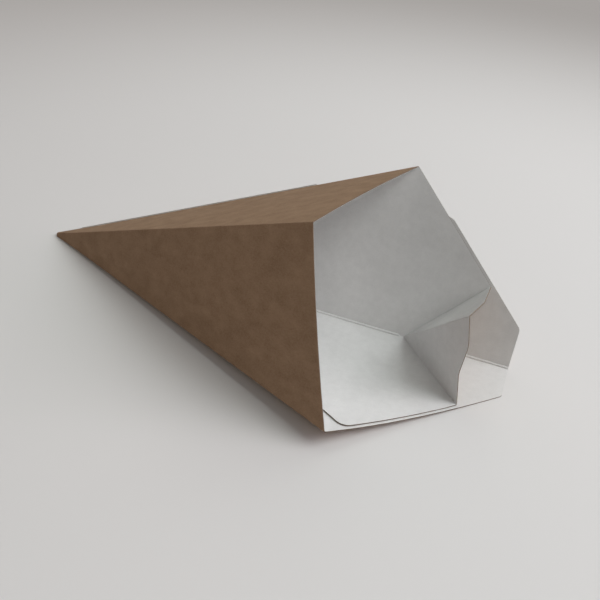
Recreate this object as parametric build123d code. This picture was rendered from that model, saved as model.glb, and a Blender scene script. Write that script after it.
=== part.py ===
from build123d import *
import math
import os

# A four-sided pointed cone for a hand roll, folded and glued from one sheet of card.
# It lies on its floor face, with the tip at low X and the mouth at high X.
# Going round from the inside, the sheet is: floor flap, back wall, top, front, floor,
# back flap. The flaps are glued down, so the floor and the back wall are double there.
# The spine is the fold between floor and back, and the ridge is the fold opposite it.

# Card, in millimetres
board = 0.4
fold_round = 0.3

# Shape of the cone: the angle of each face at the tip, and between floor and back
tip_angle = 22.5
spine_angle = 112.0
spine = 218.0
ridge = 166.0
tip_blunt = 3.0

# Mouth of floor and back: square across the spine, then sloping back to the side folds
rim_corner = 16.5
rim_angle = 45.0
corner_round = 2.5
inner_set_back = 1.0

# The floor is flat beside the spine, then bows up towards the front fold
bow_start = 6.5
floor_lift = 7.0

# Sauce pocket: the corner of the inner layer is folded back between two creases.
# Its rim, in the flat, is a blunt nose at the spine, with a shoulder on each side and a
# waist on the floor side, which are given as so far across and so far back from the nose.
pocket_start = 175.5
crease_angle = 46.5
tuck_length = 50.0
shoulder_across = 11.8
shoulder_back = 5.5
waist_across = 15.3
waist_back = 12.5

# Glue flaps
floor_flap_start = 62.0
floor_flap_angle = 30.0
back_flap_width = 52.0
flap_round = 4.0

# How far a sheet is drawn past a fold before it is mitred there
spare = 6.0


def sine(angle):
    return math.sin(math.radians(angle))


def cosine(angle):
    return math.cos(math.radians(angle))


def tangent(angle):
    return math.tan(math.radians(angle))


def turned(vector, about, angle):
    return vector.rotate(Axis((0, 0, 0), (about.X, about.Y, about.Z)), angle)


def rim_line(set_back):
    # u + v * tan(rim_angle) of the sloping rim, u along the spine and v across the face
    return spine + rim_corner * tangent(rim_angle) - set_back / cosine(rim_angle)


def rim_at(v, set_back=0.0):
    return rim_line(set_back) - v * tangent(rim_angle)


def rim_reach(angle, set_back=0.0):
    # tip to rim along a line at this angle to the spine
    u = rim_line(set_back) / (1 + tangent(angle) * tangent(rim_angle))
    return u / cosine(angle)


# Floor and back wall
along = Vector(1, 0, 0)
up = Vector(0, 0, 1)
floor_across = Vector(0, -1, 0)
back_across = turned(floor_across, along, -spine_angle)
back_in = turned(up * -1, along, -spine_angle)

# The bowed strip of the floor is part of a wide cone, which has its point at the tip
bow_width = tip_angle - bow_start
bow_line = turned(along, up, -bow_start)
bow_side = turned(floor_across, up, -bow_start)
bow_slant = math.radians(bow_width) ** 2 * rim_reach(tip_angle) / (2 * floor_lift)
bow_cone = math.degrees(math.atan(bow_slant))
bow_axis = turned(bow_line, bow_side, bow_cone) * -1
bow_turn = bow_width / sine(bow_cone)

# The folds, as directions from the tip, and the inward normals of the faces
front_fold = turned(bow_line, bow_axis, bow_turn)
floor_in_front = turned(up, bow_axis, bow_turn)
side_fold = along * cosine(tip_angle) + back_across * sine(tip_angle)
between = (front_fold + side_fold) * (cosine(tip_angle) / (1 + front_fold.dot(side_fold)))
rise = math.sqrt(1 - between.dot(between))
ridge_fold = between + front_fold.cross(side_fold).normalized() * rise
top_in = side_fold.cross(ridge_fold).normalized()
front_in = ridge_fold.cross(front_fold).normalized()
centre_line = (along + side_fold + ridge_fold + front_fold).normalized()

# Mouth ends of the three short folds
ridge_end = ridge_fold * ridge
front_end = front_fold * rim_reach(tip_angle)
side_end = side_fold * rim_reach(tip_angle, inner_set_back)

# The creases of the pocket, and the plane that mirrors its corner inwards
floor_crease = along * cosine(crease_angle) + floor_across * sine(crease_angle)
back_crease = along * cosine(crease_angle) + back_across * sine(crease_angle)
tuck_plane = Plane(origin=along * pocket_start, z_dir=floor_crease.cross(back_crease))
crease_end = (rim_line(inner_set_back) - pocket_start) / (
    cosine(crease_angle) + sine(crease_angle) * tangent(rim_angle)
)


def on_face(across, points):
    return [along * u + across * v for u, v in points]


def outline(points, rounds=()):
    face = make_face(Polyline(*points, close=True))
    for corner, radius in rounds:
        face = fillet(face.vertices().sort_by_distance(points[corner])[0], radius)
    return face


def card(shape, inward, lift):
    # a flat sheet of card on a face, with its outer side this far inside the face
    return Pos(*(inward * lift)) * extrude(shape, board, dir=inward)


def mitred(sheet, inward, lift, next_inward, next_lift):
    # trimmed where it meets the next face, on the plane that halves their fold
    facing = next_inward - inward
    middle = facing.normalized() * ((next_lift - lift) / facing.length)
    return split(sheet, Plane(origin=middle, z_dir=facing), keep=Keep.TOP)


def face_card(first, second, inward):
    # a triangle from the tip to a straight rim, drawn past both of its folds
    rim = second - first
    share = spare / rim.length
    back = (first + second).normalized() * -spare
    return card(outline([back, first - rim * share, second + rim * share]), inward, 0)


def top_face():
    sheet = face_card(side_end, ridge_end, top_in)
    sheet = mitred(sheet, top_in, 0, back_in, board)
    return mitred(sheet, top_in, 0, front_in, 0)


def front_face():
    sheet = face_card(ridge_end, front_end, front_in)
    sheet = mitred(sheet, front_in, 0, top_in, 0)
    return mitred(sheet, front_in, 0, floor_in_front, 0)


def bowed_card(lift):
    # flat from the spine to the bow line, then rolled up as far as the front fold
    far = spine + rim_corner
    edge = floor_across * -spare
    points = [Vector(0, 0, 0), bow_line * far, along * far, along * far + edge, edge]
    flat = card(outline(points), up, lift)
    start = bow_line * (tip_blunt / 2) + up * lift
    end = bow_line * far + up * lift
    strip = outline([start, end, end + up * board, start + up * board])
    return flat + revolve(strip, Axis((0, 0, 0), (bow_axis.X, bow_axis.Y, bow_axis.Z)), bow_turn)


def floor_face():
    # the rim runs straight, seen from above, to the mouth end of the front fold
    corner = along * spine + floor_across * rim_corner
    end = Vector(front_end.X, front_end.Y, 0)
    past = end + (end - corner).normalized() * spare
    edge = floor_across * -spare
    points = [edge, along * spine + edge, corner, past, Vector(0, past.Y, 0)]
    cut = extrude(outline(points, [(2, corner_round)]), 2 * floor_lift + board, both=True)
    sheet = mitred(bowed_card(0), up, 0, back_in, 0)
    sheet = mitred(sheet, floor_in_front, 0, front_in, 0)
    return sheet & cut


def floor_flap():
    slope = tangent(floor_flap_angle)
    lean = slope * tangent(rim_angle)
    u = (rim_line(inner_set_back) + floor_flap_start * lean) / (1 + lean)
    points = [
        (floor_flap_start - spare / slope, -spare),
        (rim_at(-spare, inner_set_back), -spare),
        (u, (u - floor_flap_start) * slope),
    ]
    shape = outline(on_face(floor_across, points), [(2, flap_round)])
    sheet = mitred(bowed_card(board), up, board, back_in, board)
    sheet = sheet & extrude(shape, 2 * floor_lift + 2 * board)
    return split(sheet, tuck_plane, keep=Keep.TOP)


def back_wall():
    top = side_end.dot(back_across) + spare
    points = [
        (-spare, -spare),
        (rim_at(-spare, inner_set_back), -spare),
        (rim_at(top, inner_set_back), top),
        (-spare, 0),
    ]
    sheet = card(outline(on_face(back_across, points)), back_in, board)
    sheet = mitred(sheet, back_in, board, up, board)
    sheet = mitred(sheet, back_in, board, top_in, 0)
    return split(sheet, tuck_plane, keep=Keep.TOP)


def back_flap():
    # glued outside the back wall, its free edge on the side fold and then parallel to the spine
    points = [
        (0, 0),
        (0, -spare),
        (spine, -spare),
        (spine, rim_corner),
        (rim_at(back_flap_width), back_flap_width),
        (back_flap_width / tangent(tip_angle), back_flap_width),
    ]
    shape = outline(on_face(back_across, points), [(3, corner_round), (4, flap_round)])
    return mitred(card(shape, back_in, 0), back_in, 0, up, 0)


def tuck_half(across, inward, next_inward, corners):
    # one half of the inner corner, drawn in the flat and mirrored in through the creases
    end = (pocket_start + crease_end * cosine(crease_angle), crease_end * sine(crease_angle))
    nose = pocket_start + tuck_length
    rim = [(nose - back, away) for back, away in corners]
    past = (2 * end[0] - rim[-1][0], 2 * end[1] - rim[-1][1])
    points = [(pocket_start - spare, -spare), (nose, -spare), (nose, 0)] + rim
    rounds = [(len(points) - 1 - i, corner_round) for i in range(len(rim))]
    points = points + [past, (pocket_start - spare, 0)]
    shape = outline(on_face(across, points), rounds)
    sheet = card(shape, inward, board)
    sheet = mitred(sheet, inward, board, next_inward, board)
    return mirror(split(sheet, tuck_plane, keep=Keep.BOTTOM), about=tuck_plane)


def blunted(cone):
    return split(cone, Plane(origin=centre_line * tip_blunt, z_dir=centre_line), keep=Keep.TOP)


def on_line(edge, point, direction):
    # whether both ends of an edge lie on the line
    offsets = [Vector(*end) - point for end in edge.vertices()]
    return all(offset.cross(direction).length < board / 50 for offset in offsets)


def rounded(cone):
    # the bare folds; the back flap's cut edge covers most of the side fold
    tip = Vector(0, 0, 0)
    bare = (along, ridge_fold, front_fold)
    folds = [edge for edge in cone.edges() if any(on_line(edge, tip, fold) for fold in bare)]
    return fillet(folds, min(fold_round, 0.75 * board))


def tucked_corner():
    shoulder = (shoulder_back, shoulder_across)
    waist = (waist_back, waist_across)
    low = tuck_half(floor_across, up, back_in, [shoulder, waist])
    return low + tuck_half(back_across, back_in, up, [shoulder])


def card_cone():
    cone = back_wall() + top_face() + front_face() + floor_face() + floor_flap() + back_flap()
    return rounded(blunted(cone + tucked_corner()))


def on_table(shape):
    # the origin is under the middle of the cone, on the table
    box = shape.bounding_box()
    middle = box.center()
    return Pos(-middle.X, -middle.Y, -box.min.Z) * shape


os.makedirs("parts", exist_ok=True)
cone = on_table(card_cone())
export_step(cone, "parts/card_cone.step")
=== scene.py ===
import math

import bmesh
import bpy
from mathutils import Matrix, Vector


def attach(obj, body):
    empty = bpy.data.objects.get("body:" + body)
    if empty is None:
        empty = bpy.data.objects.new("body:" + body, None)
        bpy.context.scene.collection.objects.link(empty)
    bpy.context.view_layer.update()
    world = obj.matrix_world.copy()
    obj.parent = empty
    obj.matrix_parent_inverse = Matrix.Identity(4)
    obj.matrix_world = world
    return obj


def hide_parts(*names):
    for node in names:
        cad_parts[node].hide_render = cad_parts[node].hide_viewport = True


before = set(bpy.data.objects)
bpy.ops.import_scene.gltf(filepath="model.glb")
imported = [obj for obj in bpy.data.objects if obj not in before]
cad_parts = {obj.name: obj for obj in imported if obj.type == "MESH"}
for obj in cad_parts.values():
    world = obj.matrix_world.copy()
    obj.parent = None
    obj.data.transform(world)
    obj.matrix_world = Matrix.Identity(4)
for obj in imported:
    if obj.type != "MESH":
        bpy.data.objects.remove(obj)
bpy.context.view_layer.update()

mm = 0.001

# The cone, one sheet of card, in millimetres and degrees. It is laid out from its pointed tip,
# with the spine, the fold between floor and back, along X, and is moved to the frame at the end.
sheet = {
    "board": 0.4,
    "layerGap": 0.02,  # air between the glued layers
    "tipAngle": 22.5,  # of each of the four faces at the tip
    "spineAngle": 112.0,  # between floor and back
    "spine": 218.0,
    "ridge": 166.0,
    "tipBlunt": 3.0,
    "tipPlace": (-110.375, 21.391, 0.0),  # in the frame

    # the mouth
    "rimCorner": 16.5,  # it is square across the spine for this far
    "rimSlope": 45.0,
    "cornerRound": 2.5,
    "innerSetBack": 1.0,
    "floorProud": 0.35,  # of the floor's sloping rim, beyond the back's

    # the floor bows up towards the front fold
    "bowStart": 4.5,  # from the spine
    "bowCuts": 12,
    "bowLast": 2.6,  # left whole beside the front fold, so that its round fits
    "floorLift": 7.0,

    # the glue flaps
    "floorFlapStart": 62.0,
    "floorFlapAngle": 30.0,
    "backFlapWidth": 52.0,
    "backFlapStart": 17.0,
    "backFlapProud": 0.25,  # its free edge shows above the side fold
    "flapRound": 4.0,

    # the sauce pocket: the inner layer's corner, folded back into the mouth
    "pocketStart": 174.4,
    "creaseAngle": 46.7,
    "pocketLength": 51.4,
    # corners of its rim, in the flat: so far back from the nose, and so far across
    "lowShoulder": (5.0, 10.3),
    "lowWaist": (15.4, 18.7),
    "highShoulder": (3.8, 10.8),
    "lowRound": 9.0,
    "highRound": 3.0,

    # how the sheet is cut up, so that it can bend
    "cornerSegments": 6,
    "faceCuts": 5,
    "crossStep": 11.0,
    "leastStrip": 1.5,  # a cross cut stays this far from every corner
    "cutSlack": 1e-4,
    "weld": 0.012,
    "sliver": 0.45,  # corners of cuts that are nearer than this become one

    # radii of the folds, on the kraft side
    "foldRound": 0.5,
    "foldTaper": 14.0,  # nearer to the tip the rounds shrink
    "foldSegments": 4,
    "leastTurn": 15.0,  # of an edge that counts as a fold
    "creaseRound": 0.6,  # of the two soft creases of the pocket
    "creaseRoundReach": 20.0,
    "tuckRound": 0.15,  # of the ridge between them, where the kraft side is the inner one
    "lineSlack": 2.0,  # for an edge that counts as a part of a crease
    "bevelWidth": 2.0,  # for a full bevel weight
    "sharpTurn": 38.0,  # of an edge that isn't shaded smooth
    "shadingWeight": 80,

    # the card isn't quite flat
    "topBulge": 0.7,  # outwards, at the rim
    "frontBulge": 0.45,
    "frontHollow": 0.45,  # towards the tip, of the middle of the front's rim
    "flapLift": 0.1,  # of the floor flap's free rim
    "flapLiftReach": 13.0,
    "flapCornerLift": 0.15,  # more, at its front corner
    "flapCornerReach": 30.0,
    "flapHeldByPocket": 25.0,  # the flap lifts less, this near to the pocket
    "flapHeldBySpine": 6.0,
    "lowCreaseLift": 0.3,  # of the inner layer, where the pocket's creases pull it up
    "highCreaseLift": 0.15,
    "creaseCuts": (1.0, 2.2, 3.6, 5.0),
    "creaseFade": 12.0,  # from the pocket's inner corner
    "tipSwell": 0.35,
    "tipSwellReach": 26.0,
    "plugPlace": (3.5, -0.65, 0.8),  # of the crushed card that closes the tip
    "plugRadii": (0.72, 0.95, 0.78),
    "plugDetail": 3,

    # the low bead that a pressed crease leaves inside its fold
    "beadHalfWidth": 0.5,
    "beadHalfHeight": 0.38,
    "beadInward": 0.27,  # from the inner corner of the fold to the middle of the bead
    "beadSides": 16,
    "beadStart": 24.0,
    "beadFlapGap": 1.0,  # how far short of the floor flap, the pocket and the rim it stops
    "beadPocketGaps": (0.6, 2.0),
    "beadRimGaps": {"spine": 0.1, "side": 1.4, "ridge": 0.8, "front": 1.0},
}

along = Vector((1, 0, 0))
up = Vector((0, 0, 1))
floorAcross = Vector((0, -1, 0))


def tangent(degrees):
    return math.tan(math.radians(degrees))


def cosine(degrees):
    return math.cos(math.radians(degrees))


def turned(vector, about, degrees):
    return Matrix.Rotation(math.radians(degrees), 3, about) @ vector


def heading(across, degrees):
    # a direction in a face, so far from the spine
    return along * cosine(degrees) + across * math.sin(math.radians(degrees))


def meet(*planes):
    # the corner where three planes (normal, distance) meet
    normals = Matrix([normal for normal, _ in planes])
    return normals.inverted() @ Vector([distance for _, distance in planes])


def rimPlane(across, setBack=0.0):
    # the plane that cuts a face along its sloping rim
    slope = tangent(sheet["rimSlope"])
    back = setBack / cosine(sheet["rimSlope"])
    return along + across * slope, sheet["spine"] + sheet["rimCorner"] * slope - back


def rimReach(degrees, setBack=0.0):
    # from the tip to the sloping rim, so far from the spine
    slope = tangent(sheet["rimSlope"])
    line = rimPlane(floorAcross, setBack)[1]
    return line / (1 + tangent(degrees) * slope) / cosine(degrees)


def bowOfFloor():
    # the front of the floor is part of a wide round cone with its point at the tip
    width = sheet["tipAngle"] - sheet["bowStart"]
    start = turned(along, up, -sheet["bowStart"])
    side = turned(floorAcross, up, -sheet["bowStart"])
    slant = math.radians(width) ** 2 * rimReach(sheet["tipAngle"]) / (2 * sheet["floorLift"])
    opening = math.atan(slant)
    axis = -turned(start, side, math.degrees(opening))
    return start, axis, 1 / math.sin(opening)


bowLine, bowAxis, bowRate = bowOfFloor()


def rolledPoint(point):
    # a point of the flat floor, rolled up with the bow
    flat = Vector((point.x, point.y, 0))
    degrees = math.degrees(math.atan2(-point.y, point.x)) - sheet["bowStart"]
    if degrees <= 0:
        return point
    turn = degrees * bowRate
    return turned(bowLine, bowAxis, turn) * flat.length + turned(up, bowAxis, turn) * point.z


# Directions of the folds, and normals of the faces, which point into the cone
frontFold = rolledPoint(heading(floorAcross, sheet["tipAngle"]))
floorInFront = turned(up, bowAxis, (sheet["tipAngle"] - sheet["bowStart"]) * bowRate)
backAcross = turned(floorAcross, along, -sheet["spineAngle"])
backIn = turned(-up, along, -sheet["spineAngle"])
sideFold = heading(backAcross, sheet["tipAngle"])
between = (frontFold + sideFold) * (cosine(sheet["tipAngle"]) / (1 + frontFold.dot(sideFold)))
beyond = math.sqrt(1 - between.length_squared)
ridgeFold = between + frontFold.cross(sideFold).normalized() * beyond
topIn = sideFold.cross(ridgeFold).normalized()
frontIn = ridgeFold.cross(frontFold).normalized()
centreLine = (along + sideFold + ridgeFold + frontFold).normalized()

# Planes of the panels, on their kraft side
innerLift = sheet["board"] + sheet["layerGap"]
floorOuter, floorInner = (up, 0.0), (up, innerLift)
backOuter, backInner = (backIn, 0.0), (backIn, innerLift)
topFace = (topIn, 0.0)
nearTip = (centreLine, sheet["tipBlunt"])
innerRim = sheet["innerSetBack"] - sheet["floorProud"]
frontReach = rimReach(sheet["tipAngle"], -sheet["floorProud"])

# The folded corner is the mirror image of the two panels that it comes from
tuckLift = innerLift + sheet["board"]
lowLine = heading(floorAcross, sheet["creaseAngle"])
highLine = heading(backAcross, sheet["creaseAngle"])
tuckNormal = lowLine.cross(highLine).normalized()


def mirroredWay(vector):
    return vector - tuckNormal * (2 * vector.dot(tuckNormal))


def mirrored(point):
    away = (point - along * sheet["pocketStart"]).dot(tuckNormal)
    return point - tuckNormal * (2 * away)


def mirroredPlane(normal, distance):
    turnedNormal = mirroredWay(normal)
    return turnedNormal, turnedNormal.dot(mirrored(normal * distance))


# Its kraft side faces the pocket, one board behind its white side
lowTuck = mirroredPlane(up, tuckLift)
highTuck = mirroredPlane(backIn, tuckLift)
pocketCorner = meet(floorInner, backInner, lowTuck)
lowCrease = meet(floorInner, lowTuck, rimPlane(floorAcross, innerRim))
highCrease = meet(backInner, highTuck, rimPlane(backAcross, sheet["innerSetBack"]))

panelNames = ("floorOuter", "floorInner", "back", "top", "front", "backFlap", "tuckLow", "tuckHigh")


def panelTag(name):
    return panelNames.index(name) + 1


def addPanel(bm, name, inward, points):
    # the faces point outwards, to the kraft side
    face = bm.faces.new([bm.verts.new(point) for point in points])
    face.normal_update()
    if face.normal.dot(inward) > 0:
        face.normal_flip()
    face[bm.faces.layers.int["panel"]] = panelTag(name)


def roundCorner(bm, point, radius):
    vert = min(bm.verts, key=lambda v: (v.co - point).length)
    edges = [edge for edge in vert.link_edges if edge.is_boundary]
    arms = [(edge.other_vert(vert).co - vert.co).normalized() for edge in edges]
    offset = radius / math.tan(arms[0].angle(arms[1]) / 2)
    bmesh.ops.bevel(bm, geom=[vert], offset=offset, offset_type="OFFSET",
                    segments=sheet["cornerSegments"], profile=0.5, affect="VERTICES", material=-1)


def onFace(across, inward, lift, u, v):
    return along * u + across * v + inward * lift


def tuckRim(across, inward, name):
    # a corner of the folded corner's rim
    back, away = sheet[name]
    nose = sheet["pocketStart"] + sheet["pocketLength"]
    return mirrored(onFace(across, inward, tuckLift, nose - back, away))


def layOutSheet(bm):
    bm.faces.layers.int.new("panel")
    spine = sheet["spine"]

    # outer layer: floor, front, and the flap outside the back
    spineStart = meet(floorOuter, backOuter, nearTip)
    floorEnd = along * spine
    frontFlat = heading(floorAcross, sheet["tipAngle"])
    frontStart = sheet["tipBlunt"] / frontFold.dot(centreLine)
    ridgeStart = ridgeFold * (sheet["tipBlunt"] / ridgeFold.dot(centreLine))
    ridgeEnd = ridgeFold * sheet["ridge"]
    floorRim = rimPlane(floorAcross, -sheet["floorProud"])
    floorCorner = meet(floorOuter, (along, spine), floorRim)
    addPanel(bm, "floorOuter", up, [
        spineStart, floorEnd, floorCorner, frontFlat * frontReach, frontFlat * frontStart])
    addPanel(bm, "front", frontIn, [
        ridgeStart, ridgeEnd, frontFold * frontReach, frontFold * frontStart])
    width = sheet["backFlapWidth"]
    proud = turned(sideFold, backIn, -90) * sheet["backFlapProud"]
    if proud.dot(backAcross) < 0:
        proud = -proud
    backCorner = onFace(backAcross, backIn, 0, spine, sheet["rimCorner"])
    flapCorner = meet(backOuter, rimPlane(backAcross), (backAcross, width))
    flapEnd = onFace(backAcross, backIn, 0, width / tangent(sheet["tipAngle"]), width) + proud
    flapStart = meet(backOuter, (sideFold.cross(backIn), 0.0), nearTip)
    flapStep = sideFold * sheet["backFlapStart"]
    addPanel(bm, "backFlap", backIn, [
        spineStart, floorEnd, backCorner, flapCorner, flapEnd,
        flapStep + proud, flapStep - sideFold, flapStart])

    # inner layer: back and floor flap, and the top that hangs from the back
    innerStart = meet(floorInner, backInner, nearTip)
    innerFlap = meet(floorInner, backInner, (along, sheet["floorFlapStart"]))
    sideEnd = meet(backInner, topFace, rimPlane(backAcross, sheet["innerSetBack"]))
    sideStart = meet(backInner, topFace, nearTip)
    flapEdge = heading(floorAcross, sheet["floorFlapAngle"]).cross(up)
    innerCorner = meet(floorInner, rimPlane(floorAcross, innerRim),
                       (flapEdge, flapEdge.dot(innerFlap)))
    addPanel(bm, "back", backIn, [
        innerStart, innerFlap, pocketCorner, highCrease, sideEnd, sideStart])
    addPanel(bm, "top", topIn, [sideStart, sideEnd, ridgeEnd, ridgeStart])
    addPanel(bm, "floorInner", up, [innerFlap, pocketCorner, lowCrease, innerCorner])

    # the folded corner
    nose = (along, sheet["pocketStart"] + sheet["pocketLength"])
    noseEnd = mirrored(meet((up, tuckLift), (backIn, tuckLift), nose))
    lowShoulder = tuckRim(floorAcross, up, "lowShoulder")
    lowWaist = tuckRim(floorAcross, up, "lowWaist")
    highShoulder = tuckRim(backAcross, backIn, "highShoulder")
    addPanel(bm, "tuckLow", -lowTuck[0], [
        pocketCorner, lowCrease, lowWaist, lowShoulder, noseEnd])
    addPanel(bm, "tuckHigh", -highTuck[0], [pocketCorner, noseEnd, highShoulder, highCrease])
    bmesh.ops.remove_doubles(bm, verts=bm.verts[:], dist=sheet["weld"])

    for corner, radius in (
            (floorCorner, "cornerRound"), (backCorner, "cornerRound"),
            (flapCorner, "flapRound"), (innerCorner, "flapRound"),
            (lowShoulder, "lowRound"), (lowWaist, "lowRound"), (highShoulder, "highRound")):
        roundCorner(bm, corner, sheet[radius])


def facesOf(bm, *names):
    layer = bm.faces.layers.int["panel"]
    tags = [panelTag(name) for name in names]
    return [face for face in bm.faces if face[layer] in tags]


def inOrder(items):
    # each item once, in an order that is the same each run
    return list(dict.fromkeys(items))


def vertsOf(bm, *names):
    return inOrder(vert for face in facesOf(bm, *names) for vert in face.verts)


def cutFaces(bm, names, point, normal):
    faces = facesOf(bm, *names)
    edges = inOrder(edge for face in faces for edge in face.edges)
    bmesh.ops.bisect_plane(bm, geom=faces + edges + vertsOf(bm, *names), dist=sheet["cutSlack"],
                           plane_co=point, plane_no=normal)


def cutFlap(bm):
    # cuts along the flap's free rim, where it lifts
    normal, distance = rimPlane(floorAcross, innerRim)
    for back in (sheet["flapLiftReach"] / 2, sheet["flapLiftReach"]):
        point = normal.normalized() * (distance / normal.length - back)
        cutFaces(bm, ["floorInner"], point, normal)


def cutBesideCreases(bm):
    # cuts along the pocket's creases, where the inner layer bends up to them
    for end, inward, name in ((lowCrease, up, "floorInner"), (highCrease, backIn, "back")):
        across = inward.cross(end - pocketCorner).normalized()
        if across.dot(along) > 0:
            across = -across
        for back in sheet["creaseCuts"]:
            cutFaces(bm, [name], pocketCorner + across * back, across)


def bowTheFloor(bm):
    step = (sheet["tipAngle"] - sheet["bowStart"] - sheet["bowLast"]) / sheet["bowCuts"]
    for i in range(sheet["bowCuts"] + 1):
        line = heading(floorAcross, sheet["bowStart"] + i * step)
        cutFaces(bm, ["floorOuter", "floorInner"], (0, 0, 0), up.cross(line))
    for vert in vertsOf(bm, "floorOuter", "floorInner"):
        vert.co = rolledPoint(vert.co)
    bmesh.ops.remove_doubles(bm, verts=bm.verts[:], dist=sheet["weld"])


def cutStrips(bm, names, first, second):
    # cuts from the tip, between two folds
    whole = first.angle(second)
    about = first.cross(second).normalized()
    for i in range(1, sheet["faceCuts"]):
        line = turned(first, about, math.degrees(whole) * i / sheet["faceCuts"])
        cutFaces(bm, names, (0, 0, 0), about.cross(line))


def cutAcross(bm, names):
    # cross cuts, but none that leaves a sliver
    corners = [vert.co.x for vert in vertsOf(bm, *names)]
    step = sheet["crossStep"]
    for i in range(1, int(sheet["spine"] / step) + 1):
        if min(abs(x - i * step) for x in corners) > sheet["leastStrip"]:
            cutFaces(bm, names, along * (i * step), along)


def weldSlivers(bm, *names):
    # corners of the cuts that fall almost together, except on the rim
    verts = vertsOf(bm, *names)
    kept = [vert for vert in verts
            if vert.is_boundary or (vert.co - pocketCorner).length < sheet["weld"]]
    doubles = bmesh.ops.find_doubles(bm, verts=verts, keep_verts=kept, dist=sheet["sliver"])
    print("slivers welded", len(doubles["targetmap"]))
    bmesh.ops.weld_verts(bm, targetmap=doubles["targetmap"])


def easing(share):
    share = max(0.0, min(1.0, share))
    return share * share * (3 - 2 * share)


def bulge(bm, name, first, second, inward, amount, hollow=0.0):
    # most in the middle of the rim, and nothing at the folds
    whole = first.angle(second)
    middle = (first + second).normalized()
    for vert in vertsOf(bm, name):
        share = min(1.0, first.angle(vert.co) / whole)
        near = min(1.0, vert.co.length / sheet["ridge"])
        vert.co -= (inward * amount + middle * hollow) * (4 * share * (1 - share) * near ** 2)


def liftFlap(bm):
    # the free rim of the floor flap stands a little off the floor
    bm.normal_update()
    layer, tag = bm.faces.layers.int["panel"], panelTag("floorInner")
    rim = [edge for edge in bm.edges if edge.is_boundary and edge.link_faces[0][layer] == tag]
    middles = [(edge.verts[0].co + edge.verts[1].co) / 2 for edge in rim]
    corner = min((vert.co for edge in rim for vert in edge.verts), key=lambda co: co.y).copy()
    for vert in vertsOf(bm, "floorInner"):
        away = min((vert.co - middle).length for middle in middles)
        near = easing(1 - away / sheet["flapLiftReach"])
        free = easing((vert.co - lowCrease).length / sheet["flapHeldByPocket"])
        free *= easing(-vert.co.y / sheet["flapHeldBySpine"])
        atCorner = easing(1 - (vert.co - corner).length / sheet["flapCornerReach"])
        lift = sheet["flapLift"] + sheet["flapCornerLift"] * atCorner
        vert.co -= vert.normal * (near * free * lift)


def liftCreases(bm):
    moves = {}
    for end, inward, name, lift in ((lowCrease, up, "floorInner", "lowCreaseLift"),
                                    (highCrease, backIn, "back", "highCreaseLift")):
        line = (end - pocketCorner).normalized()
        for vert in vertsOf(bm, name):
            away = vert.co - pocketCorner
            near = easing(1 - away.cross(line).length / sheet["creaseCuts"][-1])
            share = near * easing(away.length / sheet["creaseFade"])
            moves[vert] = moves.get(vert, Vector()) + inward * (sheet[lift] * share)
    for vert, move in moves.items():
        vert.co += move


def swellTip(bm):
    # the folded tip is blunter than four flat faces would make it
    for vert in bm.verts:
        near = easing(1 - (vert.co.length - sheet["tipBlunt"]) / sheet["tipSwellReach"])
        away = vert.co - centreLine * vert.co.dot(centreLine)
        away = Vector((0, away.y, max(away.z, 0)))
        if vert.co.length < sheet["tipSwellReach"]:
            vert.co += away.normalized() * (sheet["tipSwell"] * near)


def pointsAlong(vector, line):
    return vector.normalized().dot(line.normalized()) > cosine(sheet["lineSlack"])


def foldRadius(edge):
    # the pocket's creases are softer than the pressed folds
    away = (edge.verts[0].co + edge.verts[1].co) / 2 - pocketCorner
    if pointsAlong(away, mirroredWay(along)):
        return sheet["tuckRound"]
    if any(pointsAlong(away, end - pocketCorner) for end in (lowCrease, highCrease)):
        softer = sheet["creaseRound"] - sheet["foldRound"]
        return sheet["foldRound"] + softer * easing(away.length / sheet["creaseRoundReach"])
    nearEnd = min(vert.co.x for vert in edge.verts)
    return sheet["foldRound"] * min(1.0, nearEnd / sheet["foldTaper"])


def weighFolds(bm):
    layer = bm.edges.layers.float.new("bevel_weight_edge")
    count = 0
    for edge in bm.edges:
        if len(edge.link_faces) != 2:
            continue
        turn = edge.calc_face_angle(0.0)
        if turn > math.radians(sheet["leastTurn"]):
            edge[layer] = foldRadius(edge) * math.tan(turn / 2) / sheet["bevelWidth"]
            count += 1
    print("edges in folds", count)


def newObject(bm, name):
    mesh = bpy.data.meshes.new(name)
    bm.to_mesh(mesh)
    bm.free()
    obj = bpy.data.objects.new(name, mesh)
    bpy.context.scene.collection.objects.link(obj)
    return obj


def applyModifiers(obj):
    graph = bpy.context.evaluated_depsgraph_get()
    mesh = bpy.data.meshes.new_from_object(obj.evaluated_get(graph))
    obj.modifiers.clear()
    obj.data = mesh


def addBead(bm, first, second, fold, start, end):
    # first and second are the two inner faces that meet in the fold
    inward = (first[0] + second[0]).normalized()
    ends = [meet(first, second, (fold, place)) + inward * sheet["beadInward"]
            for place in (start, end)]
    side = inward.cross(fold) * sheet["beadHalfWidth"]
    height = inward * sheet["beadHalfHeight"]
    length = fold * (ends[1] - ends[0]).length
    turn = Matrix((side, height, length)).transposed()
    place = Matrix.Translation((ends[0] + ends[1]) / 2) @ turn.to_4x4()
    made = bmesh.ops.create_cone(bm, cap_ends=True, segments=sheet["beadSides"],
                                 radius1=1, radius2=1, depth=1, matrix=place)
    for vert in made["verts"]:
        for face in vert.link_faces:
            face.material_index = 1


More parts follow.
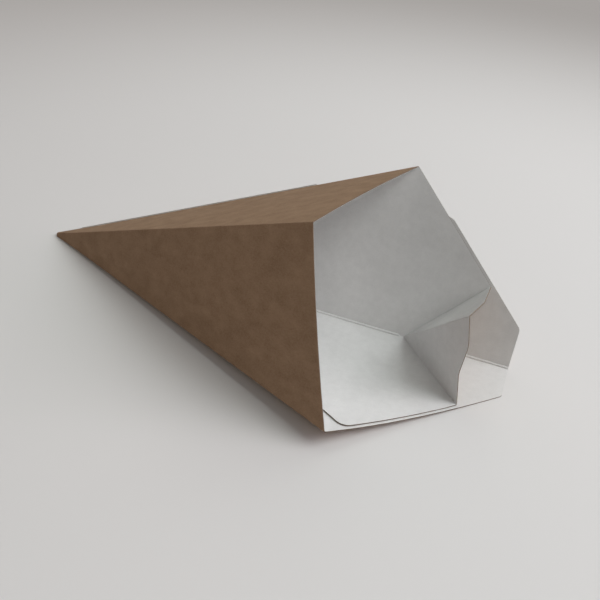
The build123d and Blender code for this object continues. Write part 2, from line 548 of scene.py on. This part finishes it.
def addBeads(bm):
    thick, start, gaps = sheet["board"], sheet["beadStart"], sheet["beadRimGaps"]
    flapStart, flapGap = sheet["floorFlapStart"], sheet["beadFlapGap"]
    beforePocket, pastPocket = sheet["beadPocketGaps"]
    outerFloor, outerBack = (up, thick), (backIn, thick)
    innerFloor, innerBack = (up, tuckLift), (backIn, tuckLift)
    insideTop, insideFront = (topIn, thick), (frontIn, thick)
    sideReach = rimReach(sheet["tipAngle"], sheet["innerSetBack"])
    for first, second, fold, place, end in (
            (innerFloor, innerBack, along, flapStart + flapGap,
             sheet["pocketStart"] - beforePocket),
            (outerFloor, innerBack, along, start, flapStart - flapGap),
            (outerFloor, outerBack, along, sheet["pocketStart"] + pastPocket,
             sheet["spine"] - gaps["spine"]),
            (insideTop, innerBack, sideFold, start, sideReach - gaps["side"]),
            (insideTop, insideFront, ridgeFold, start, sheet["ridge"] - gaps["ridge"]),
            (insideFront, (floorInFront, thick), frontFold, start, frontReach - gaps["front"])):
        addBead(bm, first, second, fold, place, end)


def closeTip(bm):
    place = Matrix.Translation(sheet["plugPlace"]) @ Matrix.Diagonal((*sheet["plugRadii"], 1))
    bmesh.ops.create_icosphere(bm, subdivisions=sheet["plugDetail"], radius=1, matrix=place)


def foldSheet():
    # the kraft side of the sheet, without thickness
    bm = bmesh.new()
    layOutSheet(bm)
    cutFlap(bm)
    cutBesideCreases(bm)
    bowTheFloor(bm)
    cutStrips(bm, ["top"], sideFold, ridgeFold)
    cutStrips(bm, ["front"], ridgeFold, frontFold)
    cutAcross(bm, ["top", "front"])
    bulge(bm, "top", sideFold, ridgeFold, topIn, sheet["topBulge"])
    bulge(bm, "front", ridgeFold, frontFold, frontIn, sheet["frontBulge"], sheet["frontHollow"])
    weldSlivers(bm, "floorInner", "back")
    liftFlap(bm)
    liftCreases(bm)
    swellTip(bm)
    weighFolds(bm)
    cone = newObject(bm, "foldedCone")
    rounds = cone.modifiers.new("folds", "BEVEL")
    rounds.limit_method = "WEIGHT"
    rounds.width = sheet["bevelWidth"]
    rounds.segments = sheet["foldSegments"]
    rounds.use_clamp_overlap = False
    applyModifiers(cone)
    return cone


def giveThickness(cone):
    solid = cone.modifiers.new("board", "SOLIDIFY")
    solid.thickness = sheet["board"]
    solid.offset = -1
    solid.use_even_offset = True
    solid.use_quality_normals = True
    solid.material_offset = 1
    solid.material_offset_rim = 2
    for material in (makeCard("kraftOutside", kraftLook), makeCard("whiteInside", whiteLook),
                     makeCutEdge()):
        cone.data.materials.append(material)
    applyModifiers(cone)


def makeCone():
    cone = foldSheet()
    outerVerts = len(cone.data.vertices)
    giveThickness(cone)

    bm = bmesh.new()
    bm.from_mesh(cone.data)
    depth = bm.verts.layers.float.new("depth")
    bm.verts.ensure_lookup_table()
    for vert in bm.verts:
        vert[depth] = 0.0 if vert.index < outerVerts else 1.0
    addBeads(bm)
    closeTip(bm)
    sharp = math.radians(sheet["sharpTurn"])
    for face in bm.faces:
        face.smooth = True
    for edge in bm.edges:
        edge.smooth = len(edge.link_faces) == 2 and edge.calc_face_angle(0.0) < sharp
    bm.transform(Matrix.Scale(mm, 4) @ Matrix.Translation(Vector(sheet["tipPlace"])))
    bm.to_mesh(cone.data)
    bm.free()
    even = cone.modifiers.new("evenShading", "WEIGHTED_NORMAL")
    even.keep_sharp = True
    even.weight = sheet["shadingWeight"]
    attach(cone, "root")
    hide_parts("card_cone")
    print("cone faces", len(cone.data.polygons))


# The two faces of the card, and its cut edge. Each noise has its feature size in millimetres,
# stretch, turn in degrees, detail, and its share in the colour and in the bump.
kraftLook = {
    "dark": (0.236, 0.148, 0.087),
    "light": (0.416, 0.280, 0.179),
    "roughness": 0.82,
    "specular": 0.25,
    "bump": 0.03,
    "noises": {
        "fibres": (0.28, (1 / 7, 1, 1), (0, 0, 12), 2.0, 0.5, 0.6),
        "crossFibres": (0.364, (1 / 7, 1, 1), (10, 20, -38), 2.0, 0.4, 0.4),
        "specks": (0.7, (1, 1, 1), (0, 0, 0), 4.0, 0.55, 0.8),
        "clouds": (4.5, (0.6, 1, 1), (0, 0, 0), 3.0, 1.0, 0.0),
    },
}

whiteLook = {
    "dark": (0.641, 0.638, 0.626),
    "light": (0.781, 0.778, 0.767),
    "roughness": 0.62,
    "specular": 0.3,
    "bump": 0.012,
    "noises": {
        "grain": (0.5, (1, 1, 1), (0, 0, 0), 3.0, 0.5, 0.8),
        "mottle": (3.0, (1, 1, 1), (0, 0, 0), 3.0, 0.8, 1.2),
        "clouds": (22.0, (0.6, 1, 1), (0, 0, 0), 2.0, 1.1, 0.0),
    },
}

edgeLook = {
    "kraft": (0.16, 0.115, 0.08),
    "core": (0.20, 0.17, 0.14),
    "white": (0.42, 0.40, 0.38),
    # from the kraft side of the cut, 0, to the white side, 1
    "stops": ((0.42, "kraft"), (0.58, "core"), (0.95, "core"), (1.0, "white")),
    "roughness": 0.9,
    "specular": 0.1,
    "bump": 0.03,
    "grain": (0.25, (0.4, 1, 1), (0, 0, 0), 2.0),
    "unevenness": 0.3,
}

noiseRoughness = 0.55
bumpStrength = 0.5


def addNode(tree, kind, settings=None, values=None):
    node = tree.nodes.new("ShaderNode" + kind)
    for name, value in (settings or {}).items():
        setattr(node, name, value)
    for name, value in (values or {}).items():
        node.inputs[name].default_value = value
    return node


def newMaterial(name, roughness, specular):
    material = bpy.data.materials.new(name)
    material.use_nodes = True
    tree = material.node_tree
    shader = tree.nodes["Principled BSDF"]
    shader.inputs["Roughness"].default_value = roughness
    shader.inputs["Specular IOR Level"].default_value = specular
    return material, tree, shader


def addNoise(tree, size, stretch, turn, detail):
    # on the piece's own coordinates
    coords = addNode(tree, "TexCoord")
    turn = [math.radians(angle) for angle in turn]
    place = addNode(tree, "Mapping", values={"Scale": stretch, "Rotation": turn})
    noise = addNode(tree, "TexNoise", values={
        "Scale": 1 / (size * mm), "Detail": detail, "Roughness": noiseRoughness})
    tree.links.new(coords.outputs["Object"], place.inputs["Vector"])
    tree.links.new(place.outputs["Vector"], noise.inputs["Vector"])
    return noise.outputs["Fac"]


def addUp(tree, parts):
    # 0.5 + the sum of share * (noise - 0.5)
    total = None
    for noise, share in parts:
        node = addNode(tree, "Math", {"operation": "MULTIPLY_ADD"}, {1: share})
        tree.links.new(noise, node.inputs[0])
        if total is None:
            node.inputs[2].default_value = 0.5 - sum(share for _, share in parts) / 2
        else:
            tree.links.new(total, node.inputs[2])
        total = node.outputs[0]
    return total


def addBump(tree, shader, height, depth):
    bump = addNode(tree, "Bump", values={"Strength": bumpStrength, "Distance": depth * mm})
    tree.links.new(height, bump.inputs["Height"])
    tree.links.new(bump.outputs["Normal"], shader.inputs["Normal"])


def makeCard(name, look):
    material, tree, shader = newMaterial(name, look["roughness"], look["specular"])
    inColour, inBump = [], []
    for size, stretch, turn, detail, colourShare, bumpShare in look["noises"].values():
        noise = addNoise(tree, size, stretch, turn, detail)
        inColour.append((noise, colourShare))
        if bumpShare:
            inBump.append((noise, bumpShare))
    colour = addNode(tree, "Mix", {"data_type": "RGBA"})
    colour.inputs[6].default_value = (*look["dark"], 1)
    colour.inputs[7].default_value = (*look["light"], 1)
    tree.links.new(addUp(tree, inColour), colour.inputs[0])
    tree.links.new(colour.outputs[2], shader.inputs["Base Color"])
    addBump(tree, shader, addUp(tree, inBump), look["bump"])
    return material


def makeCutEdge():
    # kraft liner, grey core and white coating, from one side of the cut to the other
    e = edgeLook
    material, tree, shader = newMaterial("cutEdge", e["roughness"], e["specular"])
    depth = addNode(tree, "Attribute", {"attribute_name": "depth"})
    grain = addNoise(tree, *e["grain"])
    uneven = addNode(tree, "Math", {"operation": "MULTIPLY_ADD"}, {1: e["unevenness"]})
    tree.links.new(grain, uneven.inputs[0])
    tree.links.new(depth.outputs["Fac"], uneven.inputs[2])
    ramp = addNode(tree, "ValToRGB")
    elements = ramp.color_ramp.elements
    for i, (place, name) in enumerate(e["stops"]):
        stop = elements[i] if i < 2 else elements.new(place)
        stop.position, stop.color = place, (*e[name], 1)
    tree.links.new(uneven.outputs[0], ramp.inputs["Fac"])
    tree.links.new(ramp.outputs["Color"], shader.inputs["Base Color"])
    addBump(tree, shader, grain, e["bump"])
    return material


# The stage, in metres and degrees
stage = {
    "floorHalf": 4.0,
    "floorColour": (0.75, 0.74, 0.73),
    "floorRoughness": 0.75,
    "floorSpecular": 0.2,
    "room": (0.01, 0.01, 0.01),
    "backdrop": (0.38, 0.36, 0.345),
    "fadeStart": 0.22,  # where the floor starts to turn into the backdrop
    "fadeEnd": 0.75,
    "lampDistance": 1.6,
    # azimuth from +X towards +Y, elevation, size, watts, colour
    "lamps": {
        "windowLow": (15, 22, 1.0, 7.2, (1.0, 0.79, 0.90)),
        "windowHigh": (15, 48, 1.0, 15.3, (0.94, 1.0, 1.0)),
        "back": (90, 55, 1.2, 6.8, (0.95, 1.0, 0.95)),
        "backWarm": (135, 30, 1.2, 2.4, (1.0, 0.75, 0.75)),
        "tipWarm": (225, 15, 1.2, 1.6, (1.0, 0.62, 0.42)),
        "front": (300, 45, 1.2, 4.7, (1.0, 0.98, 0.95)),
    },
}


def makeFloor():
    bm = bmesh.new()
    bmesh.ops.create_grid(bm, x_segments=1, y_segments=1, size=stage["floorHalf"])
    floor = newObject(bm, "floor")
    material, tree, shader = newMaterial(
        "paleFloor", stage["floorRoughness"], stage["floorSpecular"])
    shader.inputs["Base Color"].default_value = (*stage["floorColour"], 1)
    backdrop = addNode(tree, "Emission", values={"Color": (*stage["backdrop"], 1)})
    coords = addNode(tree, "TexCoord")
    away = addNode(tree, "VectorMath", {"operation": "LENGTH"})
    fade = addNode(tree, "MapRange", {"interpolation_type": "SMOOTHSTEP"},
                   {"From Min": stage["fadeStart"], "From Max": stage["fadeEnd"]})
    mix = addNode(tree, "MixShader")
    tree.links.new(coords.outputs["Object"], away.inputs[0])
    tree.links.new(away.outputs["Value"], fade.inputs["Value"])
    tree.links.new(fade.outputs["Result"], mix.inputs[0])
    tree.links.new(shader.outputs[0], mix.inputs[1])
    tree.links.new(backdrop.outputs[0], mix.inputs[2])
    tree.links.new(mix.outputs[0], tree.nodes["Material Output"].inputs["Surface"])
    floor.data.materials.append(material)


def makeRoom():
    # the camera sees the backdrop, but only a dark room and the lamps light the cone
    world = bpy.data.worlds.new("softRoom")
    world.use_nodes = True
    tree = world.node_tree
    room = tree.nodes["Background"]
    room.inputs["Color"].default_value = (*stage["room"], 1)
    backdrop = addNode(tree, "Background", values={"Color": (*stage["backdrop"], 1)})
    seen = addNode(tree, "LightPath")
    mix = addNode(tree, "MixShader")
    tree.links.new(seen.outputs["Is Camera Ray"], mix.inputs[0])
    tree.links.new(room.outputs[0], mix.inputs[1])
    tree.links.new(backdrop.outputs[0], mix.inputs[2])
    tree.links.new(mix.outputs[0], tree.nodes["World Output"].inputs["Surface"])
    bpy.context.scene.world = world


def makeLamps():
    for name, (azimuth, elevation, size, watts, colour) in stage["lamps"].items():
        data = bpy.data.lights.new(name, "AREA")
        data.size = size
        data.energy = watts
        data.color = colour
        lamp = bpy.data.objects.new(name, data)
        bpy.context.scene.collection.objects.link(lamp)
        around, above = math.radians(azimuth), math.radians(elevation)
        away = Vector((math.cos(around) * math.cos(above), math.sin(around) * math.cos(above),
                       math.sin(above)))
        lamp.location = away * stage["lampDistance"]
        lamp.rotation_mode = "QUATERNION"
        lamp.rotation_quaternion = away.to_track_quat("Z", "Y")


# The camera that took the photograph
photoCamera = {
    "place": (96.19, -187.57, 167.78),  # millimetres, in the frame
    "yaw": -20.273,
    "pitch": 36.395,  # down
    "roll": 4.064,
    "focal": 648.94,  # pixels, in a picture 600 wide
    "picture": 600.0,
    "sensor": 36.0,  # millimetres
    "clip": (0.01, 20),  # metres
}


def makeCamera():
    c = photoCamera
    yaw, pitch, roll = (math.radians(c[name]) for name in ("yaw", "pitch", "roll"))
    forward = Vector((math.sin(yaw) * math.cos(pitch), math.cos(yaw) * math.cos(pitch),
                      -math.sin(pitch)))
    level = Vector((math.cos(yaw), -math.sin(yaw), 0))
    right = level * math.cos(roll) + level.cross(forward) * math.sin(roll)
    data = bpy.data.cameras.new("photoCamera")
    data.sensor_width = c["sensor"]
    data.lens = c["sensor"] * c["focal"] / c["picture"]
    data.clip_start, data.clip_end = c["clip"]
    camera = bpy.data.objects.new("photoCamera", data)
    bpy.context.scene.collection.objects.link(camera)
    turn = Matrix((right, right.cross(forward), -forward)).transposed().to_4x4()
    camera.matrix_world = Matrix.Translation(Vector(c["place"]) * mm) @ turn
    bpy.context.scene.camera = camera


bpy.context.scene.view_settings.view_transform = "Standard"
makeCone()
print("cone folded")
makeFloor()
makeRoom()
makeLamps()
makeCamera()
print("stage, light and camera set")
